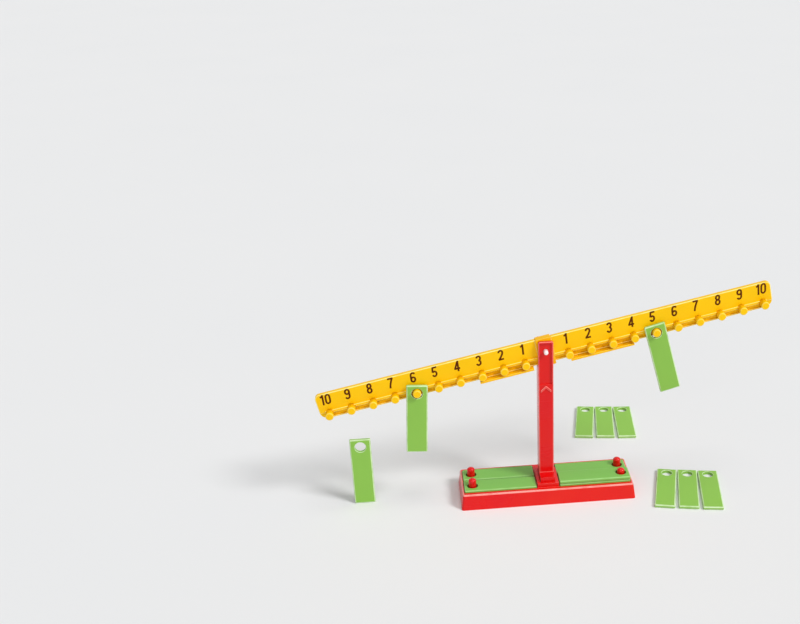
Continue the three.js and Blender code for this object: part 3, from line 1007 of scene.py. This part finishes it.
def rib_row():
    """A row of upright ribs."""
    tree = Tree("Row of Ribs")
    tree.input("Count", "NodeSocketInt", peg_count)
    tree.input("Pitch", "NodeSocketFloat", peg_pitch)
    tree.input("Depth", "NodeSocketFloat", (rib_front + rib_back) / 2)
    tree.input("Height", "NodeSocketFloat", (rib_low + rib_high) / 2)
    width = tree.input("Rib Width", "NodeSocketFloat", rib_width)
    reach = tree.input("Rib Reach", "NodeSocketFloat", rib_back - rib_front)
    rise = tree.input("Rib Rise", "NodeSocketFloat", rib_high - rib_low)
    tree.input("Material", "NodeSocketMaterial")
    bar = tree.node("GeometryNodeMeshCube")
    tree.link(tree.vector(x=width, y=reach, z=rise), bar.inputs["Size"])
    tree.row_of(bar.outputs["Mesh"])
    return tree.tree


def grown(tree, values, start=None):
    """The mesh that a tree makes from start, with these values for the inputs they name."""
    holder = bpy.data.objects.new("holder", start or bpy.data.meshes.new("holder"))
    bpy.context.scene.collection.objects.link(holder)
    modifier = holder.modifiers.new("Grown", "NODES")
    modifier.node_group = tree
    for item in tree.interface.items_tree:
        if item.item_type == "SOCKET" and item.in_out == "INPUT" and item.name in values:
            modifier[item.identifier] = values[item.name]
    graph = bpy.context.evaluated_depsgraph_get()
    mesh = bpy.data.meshes.new_from_object(holder.evaluated_get(graph), depsgraph=graph)
    bpy.data.objects.remove(holder)
    return mesh


pegs_tree = peg_row()
ribs_tree = rib_row()
print("geometry trees:", pegs_tree.name, ribs_tree.name)

# %% Join shell, pegs and ribs into each arm
for side, hand in ((-1, "left"), (1, "right")):
    values = {"Pitch": side * peg_pitch, "Material": yellow_plastic}
    pegs = grown(pegs_tree, values)
    ribs = grown(ribs_tree, values)
    joined = bmesh.new()
    for part in (arm_shell(side), pegs, ribs):
        joined.from_mesh(part)
    whole = bpy.data.meshes.new(hand + "_arm_moulding")
    joined.to_mesh(whole)
    joined.free()
    whole.transform(beam_place)
    piece = new_piece(whole.name, whole, yellow_plastic)
    stand_in(piece, hand + "_arm")
    print(piece.name, "faces:", len(piece.data.polygons))

# %% [markdown]
# ## Printed numbers
# The numbers 1 to 10 run outwards from the pivot, one above each peg, in a
# narrow, half-bold brown print with a slight slant. A font would bring its
# own shapes, so the ten digits are drawn here the way a sign painter does: as
# strokes of one width along lines and bows, in a box one unit high. Each
# number is a curve, and a Geometry Nodes tree sweeps a flat nib along it,
# with the nib's width and the ink's thickness as inputs. Made as thin meshes,
# the numbers stay crisp from close by.

# %% Draw the digits as strokes
number_height = 11.1 * mm
number_rise = 6.3 * mm
stroke_width = 0.162
number_slant = math.tan(math.radians(6.5))
digit_gap = 0.1
ink_proud = 0.06 * mm
ink_sunk = 0.1 * mm
stroke_step = 0.012 * mm
digit_width = 0.52
digit_left = stroke_width / 2
digit_right = digit_width - stroke_width / 2
digit_middle = digit_width / 2
bow_steps = 20
fewest_bow_steps = 4


def bow(x, y, half_width, half_height, start, stop):
    """Points along an elliptical bow, between two angles in degrees."""
    steps = max(fewest_bow_steps, round(bow_steps * abs(stop - start) / 360))
    points = []
    for step in range(steps + 1):
        turn = math.radians(start + (stop - start) * step / steps)
        points.append((x + half_width * math.cos(turn), y + half_height * math.sin(turn)))
    return points


half_bowl = digit_right - digit_middle
top_bow = (digit_middle, 0.70, half_bowl, 0.221)
low_bow = (digit_middle, 0.30, half_bowl, 0.221)
full_bowl = (digit_middle, 0.29, half_bowl, 0.212)
six = [
    bow(*full_bowl, 0, 360),
    [(digit_left, 0.30), (digit_left, 0.5)] + bow(*top_bow, 180, 22),
]
digits = {
    "0": [bow(*top_bow, 0, 180) + bow(*low_bow, 180, 360) + [(digit_right, 0.70)]],
    "1": [[(0.30, 0), (0.30, 1)], [(0.08, 0.79), (0.17, 0.81), (0.25, 0.87), (0.29, 0.95)]],
    "2": [
        bow(*top_bow, 172, -32) + [(0.30, 0.36), (digit_left + 0.02, 0.10)],
        [(0.03, stroke_width / 2), (digit_width, stroke_width / 2)],
    ],
    "3": [
        bow(digit_middle, 0.715, half_bowl - 0.01, 0.206, 165, -90),
        bow(*full_bowl, 90, -165),
    ],
    "4": [[(0.37, 0), (0.37, 1)], [(0.34, 0.90), (0.09, 0.30)], [(0.01, 0.27), (0.54, 0.27)]],
    "5": [
        [(0.11, 0.921), (0.49, 0.921)],
        [(0.135, 0.96), (0.10, 0.46)],
        bow(digit_middle, 0.31, half_bowl, 0.232, 142, -160),
    ],
    "6": six,
    "7": [
        [(0.03, 0.921), (digit_width, 0.921)],
        [(0.46, 0.93), (0.36, 0.70), (0.27, 0.44), (0.22, 0.20), (0.20, 0)],
    ],
    "8": [
        bow(digit_middle, 0.722, half_bowl - 0.02, 0.199, 0, 360),
        bow(*full_bowl, 0, 360),
    ],
    "9": [[(digit_width - x, 1 - y) for x, y in stroke] for stroke in six],
}
print("digits:", len(digits), "strokes:", sum(len(strokes) for strokes in digits.values()))

# %% Sweep a flat nib along them and print the numbers
ink_depth = (ink_proud + ink_sunk) / number_height
same_point = 1e-6


def nib_tree():
    """Sweeps a flat rectangle along curves, the way a broad nib inks a stroke."""
    tree = Tree("Flat Nib")
    width = tree.input("Nib Width", "NodeSocketFloat", stroke_width)
    depth = tree.input("Ink Depth", "NodeSocketFloat", ink_depth)
    material = tree.input("Material", "NodeSocketMaterial")
    upright = tree.node("GeometryNodeSetCurveNormal", Curve=tree.given.outputs["Geometry"])
    upright.mode = "Z_UP"
    nib = tree.node("GeometryNodeCurvePrimitiveQuadrilateral", Width=width, Height=depth)
    swept = tree.node("GeometryNodeCurveToMesh", Fill_Caps=True)
    tree.link(upright.outputs["Curve"], swept.inputs["Curve"])
    tree.link(nib.outputs["Curve"], swept.inputs["Profile Curve"])
    real = tree.node("GeometryNodeRealizeInstances", Geometry=swept.outputs["Mesh"])
    painted = tree.node("GeometryNodeSetMaterial", Geometry=real.outputs["Geometry"])
    tree.link(material, painted.inputs["Material"])
    tree.link(painted.outputs["Geometry"], tree.result.inputs["Geometry"])
    return tree.tree


def written(text):
    """The strokes of a number, laid side by side and centred on x = 0."""
    strokes = []
    start = 0
    for digit in text:
        places = [x for stroke in digits[digit] for x, y in stroke]
        shift = start - min(places)
        for stroke in digits[digit]:
            strokes.append([(x + shift + number_slant * (y - 0.5), y - 0.5) for x, y in stroke])
        start += max(places) - min(places) + stroke_width + digit_gap
    places = [x for stroke in strokes for x, y in stroke]
    centre = (min(places) + max(places)) / 2
    return [[(x - centre, y) for x, y in stroke] for stroke in strokes]


def number_curve(text):
    """A number as curve data, one spline for each stroke.

    Each stroke lies a hair deeper than the last, so that no two share a face where they cross.
    """
    curve = bpy.data.curves.new("number", "CURVE")
    curve.dimensions = "3D"
    for layer, stroke in enumerate(written(text)):
        closed = math.dist(stroke[0], stroke[-1]) < same_point
        points = stroke[:-1] if closed else stroke
        spline = curve.splines.new("POLY")
        spline.points.add(len(points) - 1)
        for point, (x, y) in zip(spline.points, points):
            point.co = (x, y, -layer * stroke_step / number_height, 1)
        spline.use_cyclic_u = closed
    return curve


nib = nib_tree()
for side, hand in ((-1, "left"), (1, "right")):
    print_run = bmesh.new()
    for number in range(1, peg_count + 1):
        inked = grown(nib, {"Material": brown_ink}, number_curve(str(number)))
        at = (side * number * peg_pitch, arm_face + (ink_sunk - ink_proud) / 2, number_rise)
        lay = Matrix.Translation(at) @ Matrix.Rotation(math.pi / 2, 4, "X")
        inked.transform(lay @ Matrix.Scale(number_height, 4))
        print_run.from_mesh(inked)
    bmesh.ops.recalc_face_normals(print_run, faces=print_run.faces)
    numbers = bpy.data.meshes.new(hand + "_arm_numbers")
    print_run.to_mesh(numbers)
    print_run.free()
    numbers.transform(beam_place)
    numbers.materials.clear()
    numbers.materials.append(brown_ink)
    piece = bpy.data.objects.new(numbers.name, numbers)
    bpy.context.scene.collection.objects.link(piece)
    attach(piece, "beam")
    print(piece.name, "faces:", len(piece.data.polygons))
